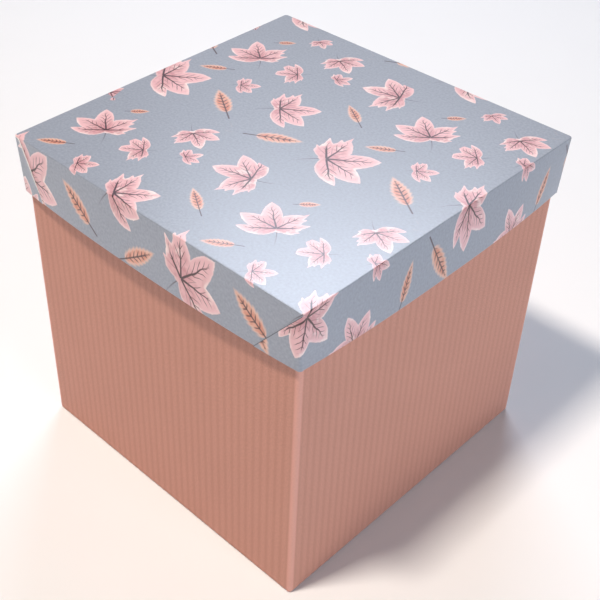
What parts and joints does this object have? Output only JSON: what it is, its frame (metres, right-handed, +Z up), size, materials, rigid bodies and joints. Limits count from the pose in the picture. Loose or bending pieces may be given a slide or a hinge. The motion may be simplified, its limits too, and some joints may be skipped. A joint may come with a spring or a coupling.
{
  "type": "flower box",
  "caption": "Square rigid flower box: greyboard base covered in ribbed pink paper, with a lift-off lid covered in blue-grey leaf-print paper.",
  "frame": {"origin": "middle of the underside, on the surface the box stands on", "axes": "+Z up, the way the lid lifts; -Y is the front side and +X the right side, both straight across the walls"},
  "size_m": [0.2626, 0.2626, 0.247],
  "materials": {
    "under_paper": "matt dark sheet glued under the floor",
    "greyboard": "plain grey solid board",
    "gummed_tape": "matt brown gummed paper",
    "ribbed_paper": "dusty pink paper with fine upright ribs",
    "lining_paper": "plain off-white uncoated paper",
    "printed_paper": "satin coated paper, blue-grey with pink maple leaves and orange feather leaves"
  },
  "bodies": {
    "base": {"base_under_sheet": "under_paper", "base_floor_board": "greyboard", "base_wall_board_front": "greyboard", "base_wall_board_right": "greyboard", "base_wall_board_back": "greyboard", "base_wall_board_left": "greyboard", "base_corner_tape_front_right": "gummed_tape", "base_corner_tape_back_right": "gummed_tape", "base_corner_tape_back_left": "gummed_tape", "base_corner_tape_front_left": "gummed_tape", "base_ribbed_wrap": "ribbed_paper", "base_wall_lining": "lining_paper", "base_floor_lining": "lining_paper"},
    "lid": {"lid_top_board": "greyboard", "lid_skirt_board_front": "greyboard", "lid_skirt_board_right": "greyboard", "lid_skirt_board_back": "greyboard", "lid_skirt_board_left": "greyboard", "lid_corner_tape_front_right": "gummed_tape", "lid_corner_tape_back_right": "gummed_tape", "lid_corner_tape_back_left": "gummed_tape", "lid_corner_tape_front_left": "gummed_tape", "lid_printed_wrap": "printed_paper", "lid_top_lining": "lining_paper"}
  },
  "joints": [
    {"name": "lid_lift", "type": "slide", "parent": "base", "child": "lid", "axis": [0, 0, 1], "range_m": [0, 0.12]}
  ]
}
